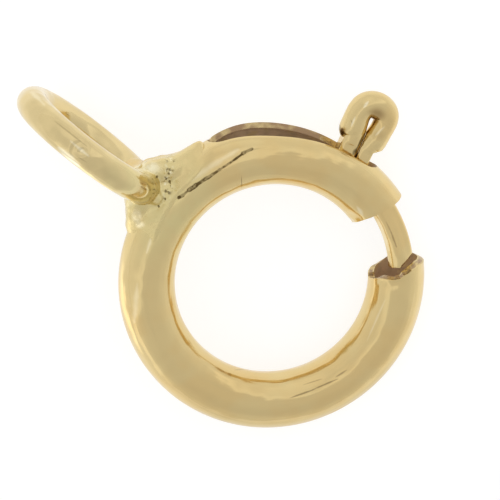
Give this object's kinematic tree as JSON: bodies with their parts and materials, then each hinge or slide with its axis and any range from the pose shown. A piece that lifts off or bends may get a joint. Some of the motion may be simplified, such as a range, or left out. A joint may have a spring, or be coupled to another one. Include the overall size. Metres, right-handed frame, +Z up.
{
  "type": "spring ring clasp",
  "caption": "Hollow ring clasp whose sprung wire tongue is drawn back by a small trigger, with a round eye soldered upright on its side to join a chain.",
  "frame": {"origin": "Middle of the base of the clasp's bounding box, on the surface that it rests on", "axes": "+Z up; +X from the eye across the ring to its far side; +Y towards the side that the trigger leans out on; the ring's plane is tilted up by 9 degrees at the eye"},
  "size_m": [0.0092, 0.0072, 0.0033],
  "materials": {
    "gold_tube": "pale yellow gold tube and eye, softly polished, tarnished brown inside, with paler rough solder at the eye",
    "gold_wire": "pale yellow gold wire, softly polished, with small dents",
    "spring_wire": "fine spring wire, darkened brown"
  },
  "bodies": {
    "ring": {"ring_body": "gold_tube", "spring": "spring_wire"},
    "slide": {"tongue": "gold_wire"}
  },
  "joints": [
    {"name": "tongue_slide", "type": "hinge", "parent": "ring", "child": "slide", "pos_m": [0.0016, -0.00061, 0.00093], "axis": [0.1559, 0, 0.9878], "range_deg": [0, 48], "stiffness_Nm_per_rad": 0.0005, "springref_deg": -11.46, "deforming": ["spring"]}
  ]
}
